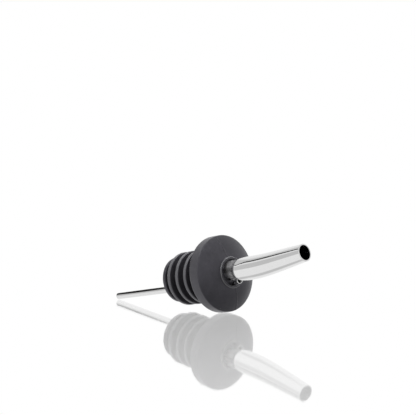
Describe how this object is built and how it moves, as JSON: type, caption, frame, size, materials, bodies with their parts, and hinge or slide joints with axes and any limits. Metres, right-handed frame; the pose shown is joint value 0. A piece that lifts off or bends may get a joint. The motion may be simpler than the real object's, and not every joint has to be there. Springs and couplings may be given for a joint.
{
  "type": "liquor pour spout",
  "caption": "Free-flow bottle pourer: ribbed rubber stopper with a flange, a tapered steel pouring spout and a steel breather tube.",
  "frame": {"origin": "centre of the flange's underside, on the stopper's axis, where the bottle's lip seats", "axes": "+Z along the stopper's axis out of the bottle towards the pouring end, +X towards the side the spout bends to, breather tube on the -X side"},
  "size_m": [0.0318, 0.0318, 0.118],
  "materials": {
    "rubber": "moulded charcoal rubber, satin",
    "polished_steel": "polished stainless steel",
    "solder": "tin-silver solder, satin"
  },
  "bodies": {
    "stopper": {"stopper": "rubber"},
    "tubes": {"spout_tube": "polished_steel", "breather_tube": "polished_steel", "solder_seam": "solder"}
  },
  "joints": [
    {"name": "tube_pull", "type": "slide", "parent": "stopper", "child": "tubes", "axis": [0, 0, 1], "range_m": [0, 0.08]}
  ]
}
